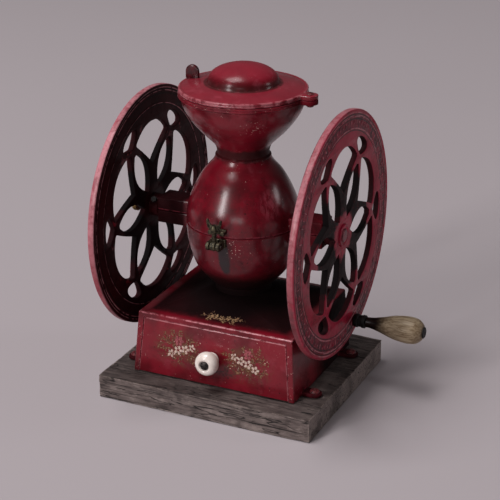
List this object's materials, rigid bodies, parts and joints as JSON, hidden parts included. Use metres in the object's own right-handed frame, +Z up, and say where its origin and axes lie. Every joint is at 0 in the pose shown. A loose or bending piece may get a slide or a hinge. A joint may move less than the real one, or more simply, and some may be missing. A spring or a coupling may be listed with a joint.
{
  "type": "coffee mill",
  "caption": "Antique counter coffee mill with pierced flywheels, a waisted hopper that tips back, a swing lid, a cast base with a drawer, and a crank with a turned wooden grip.",
  "frame": {"origin": "centre of the wooden board's underside, on the surface the mill stands on", "axes": "+Z up, +X along the shaft towards the crank, and the drawer opens towards -Y"},
  "size_m": [0.2749, 0.222, 0.3037],
  "materials": {
    "red_paint": "worn crimson gloss paint on cast iron, chipped along the edges",
    "dark_red_paint": "dark worn crimson paint on cast iron",
    "iron": "aged dark iron",
    "steel": "worn machined steel",
    "latch_bronze": "aged, darkened brass",
    "brass": "dull machined brass",
    "tinplate": "dull tinplate",
    "board_wood": "weathered bare wood, grey-brown",
    "grip_wood": "turned wood, old varnish worn pale at the bulb",
    "ceramic": "off-white glazed stoneware"
  },
  "bodies": {
    "frame": {"wood_base_board": "board_wood", "base_casting": "red_paint", "lug_screw_front_left": "iron", "lug_screw_back_left": "iron", "lug_screw_front_right": "iron", "lug_screw_back_right": "iron", "bearing_bush_left": "brass", "bearing_bush_right": "brass", "fixed_burr": "steel", "burr_screw_front": "steel", "burr_screw_back": "steel", "hinge_pin": "iron", "latch_clevis": "latch_bronze", "latch_pin": "iron"},
    "hopper": {"hopper_casting": "red_paint", "lid_pivot_pin": "iron", "latch_fork": "latch_bronze"},
    "lid": {"lid": "red_paint", "lid_thumb_tab": "dark_red_paint"},
    "rotor": {"drive_shaft": "steel", "flywheel_left": "red_paint", "flywheel_right": "red_paint", "wheel_set_screw_left": "steel", "wheel_set_screw_right": "steel", "feed_worm": "iron", "running_burr": "steel", "crank_spindle": "iron", "crank_nut": "iron", "adjuster_lock_nut": "iron"},
    "grip": {"crank_handle": "grip_wood"},
    "adjuster": {"adjuster_screw": "brass"},
    "drawer": {"drawer_front": "red_paint", "drawer_tray": "tinplate", "drawer_knob": "ceramic", "knob_screw": "steel", "knob_nut": "steel"},
    "latch": {"swing_bolt": "latch_bronze"},
    "wing": {"wing_nut": "latch_bronze"}
  },
  "joints": [
    {"name": "hopper_tilt", "type": "hinge", "parent": "frame", "child": "hopper", "pos_m": [0, 0.057, 0.16], "axis": [-1, 0, 0], "range_deg": [0, 70]},
    {"name": "lid_swing", "type": "hinge", "parent": "hopper", "child": "lid", "pos_m": [0.063, 0, 0.28], "axis": [0, 0, 1], "range_deg": [0, 110]},
    {"name": "rotor_spin", "type": "hinge", "parent": "frame", "child": "rotor", "pos_m": [0, 0, 0.16], "axis": [1, 0, 0], "continuous": true},
    {"name": "grip_spin", "type": "hinge", "parent": "rotor", "child": "grip", "pos_m": [0.135, 0.03422, 0.06444], "axis": [1, 0, 0], "continuous": true},
    {"name": "adjuster_turn", "type": "hinge", "parent": "rotor", "child": "adjuster", "pos_m": [-0.108, 0, 0.16], "axis": [1, 0, 0], "range_deg": [-180, 180]},
    {"name": "drawer_slide", "type": "slide", "parent": "frame", "child": "drawer", "axis": [0, -1, 0], "range_m": [0, 0.1]},
    {"name": "latch_swing", "type": "hinge", "parent": "frame", "child": "latch", "pos_m": [0, -0.061, 0.1555], "axis": [1, 0, 0], "range_deg": [0, 110]},
    {"name": "wing_nut_turn", "type": "hinge", "parent": "latch", "child": "wing", "pos_m": [0, -0.0596, 0.172], "axis": [0, 0, 1], "continuous": true}
  ]
}
